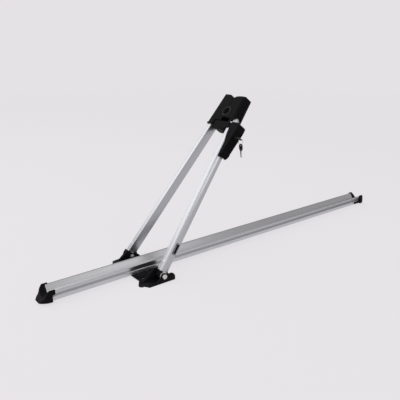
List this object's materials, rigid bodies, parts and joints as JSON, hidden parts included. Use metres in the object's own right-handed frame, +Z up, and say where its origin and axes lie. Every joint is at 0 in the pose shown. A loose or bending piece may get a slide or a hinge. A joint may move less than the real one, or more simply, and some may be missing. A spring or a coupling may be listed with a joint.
{
  "type": "bike carrier",
  "caption": "Roof bike carrier: an aluminium wheel rail on a bolted bracket, with two leaning arms that fold down and hold the frame in a locking, lever-closed clamp.",
  "frame": {"origin": "centre of the carrier's footprint, on the plane under its bracket", "axes": "+X along the rail to the end that the arms lean towards, +Y to the side of the fixed jaw, +Z up"},
  "size_m": [1.384, 0.2206, 0.4888],
  "materials": {
    "rail_aluminium": "natural satin anodised",
    "arm_aluminium": "natural satin anodised",
    "black_coating": "black powder coat",
    "black_plastic": "fine moulded grain",
    "cap_plastic": "fine moulded grain",
    "pad_rubber": "soft matt",
    "zinc_steel": "bright zinc plate",
    "black_steel": "black zinc plate",
    "lock_metal": "satin nickel",
    "lock_black": "black chromed",
    "key_steel": "milled nickel silver",
    "key_plastic": "smooth moulded",
    "label_film": "printed film, left bare"
  },
  "bodies": {
    "base": {"rail": "rail_aluminium", "end_cap_front": "cap_plastic", "end_cap_rear": "cap_plastic", "cap_screws": "zinc_steel", "cross_plate": "black_coating", "fork_far": "black_coating", "fork_near": "black_coating", "fork_screws": "zinc_steel", "slot_screws": "zinc_steel", "slot_nuts": "zinc_steel", "pivot_bolts": "zinc_steel", "pivot_nuts": "zinc_steel", "pivot_sleeves": "zinc_steel", "pivot_washers": "zinc_steel"},
    "arms": {"foot_far": "black_plastic", "foot_near": "black_plastic", "foot_pins": "zinc_steel", "arm_far": "arm_aluminium", "arm_near": "arm_aluminium", "top_plug_far": "black_plastic", "top_plug_near": "black_plastic", "label_plate": "label_film", "saddle": "black_plastic", "saddle_screws": "zinc_steel", "collar_bolt": "black_steel", "fixed_jaw": "black_plastic", "fixed_pad": "pad_rubber", "jaw_bolt": "black_steel", "lever_block": "black_plastic", "lock_keeper": "zinc_steel", "block_screws": "zinc_steel"},
    "jaw": {"moving_jaw": "black_plastic", "moving_pad": "pad_rubber", "jaw_pin": "black_steel"},
    "lever": {"lever": "black_plastic", "lever_pin": "black_steel", "lock_barrel": "lock_black", "barrel_nut": "lock_metal"},
    "plug": {"lock_plug": "lock_black", "lock_cam": "lock_metal"},
    "key": {"key_blade": "key_steel", "key_bow": "key_plastic"},
    "ring": {"key_ring": "lock_metal"},
    "spare": {"spare_key_blade": "key_steel", "spare_key_bow": "key_plastic"}
  },
  "joints": [
    {"name": "arm_fold", "type": "hinge", "parent": "base", "child": "arms", "pos_m": [-0.3614, 0, 0.0202], "axis": [0, 1, 0], "range_deg": [-46, 45]},
    {"name": "lever_open", "type": "hinge", "parent": "arms", "child": "lever", "pos_m": [-0.0588, -0.069, 0.40433], "axis": [-0.7855, 0, 0.6188], "range_deg": [0, 64]},
    {"name": "jaw_open", "type": "hinge", "parent": "arms", "child": "jaw", "pos_m": [-0.05013, -0.043, 0.41532], "axis": [0.7855, 0, -0.6188], "range_deg": [0, 32]},
    {"name": "lock_turn", "type": "hinge", "parent": "lever", "child": "plug", "pos_m": [-0.08046, -0.083, 0.37683], "axis": [0, -1, 0], "range_deg": [0, 90]},
    {"name": "key_draw", "type": "slide", "parent": "plug", "child": "key", "axis": [0, -1, 0], "range_m": [0, 0.026]},
    {"name": "ring_swing", "type": "hinge", "parent": "key", "child": "ring", "pos_m": [-0.07799, -0.1016, 0.37641], "axis": [0, 1, 0], "range_deg": [-30, 3]},
    {"name": "spare_swing", "type": "hinge", "parent": "ring", "child": "spare", "pos_m": [-0.07799, -0.1016, 0.36011], "axis": [1, 0, 0], "range_deg": [-30, 30]}
  ],
  "couplings": [
    {"joint": "jaw_open", "follows": "lever_open", "ratio": 0.5}
  ]
}
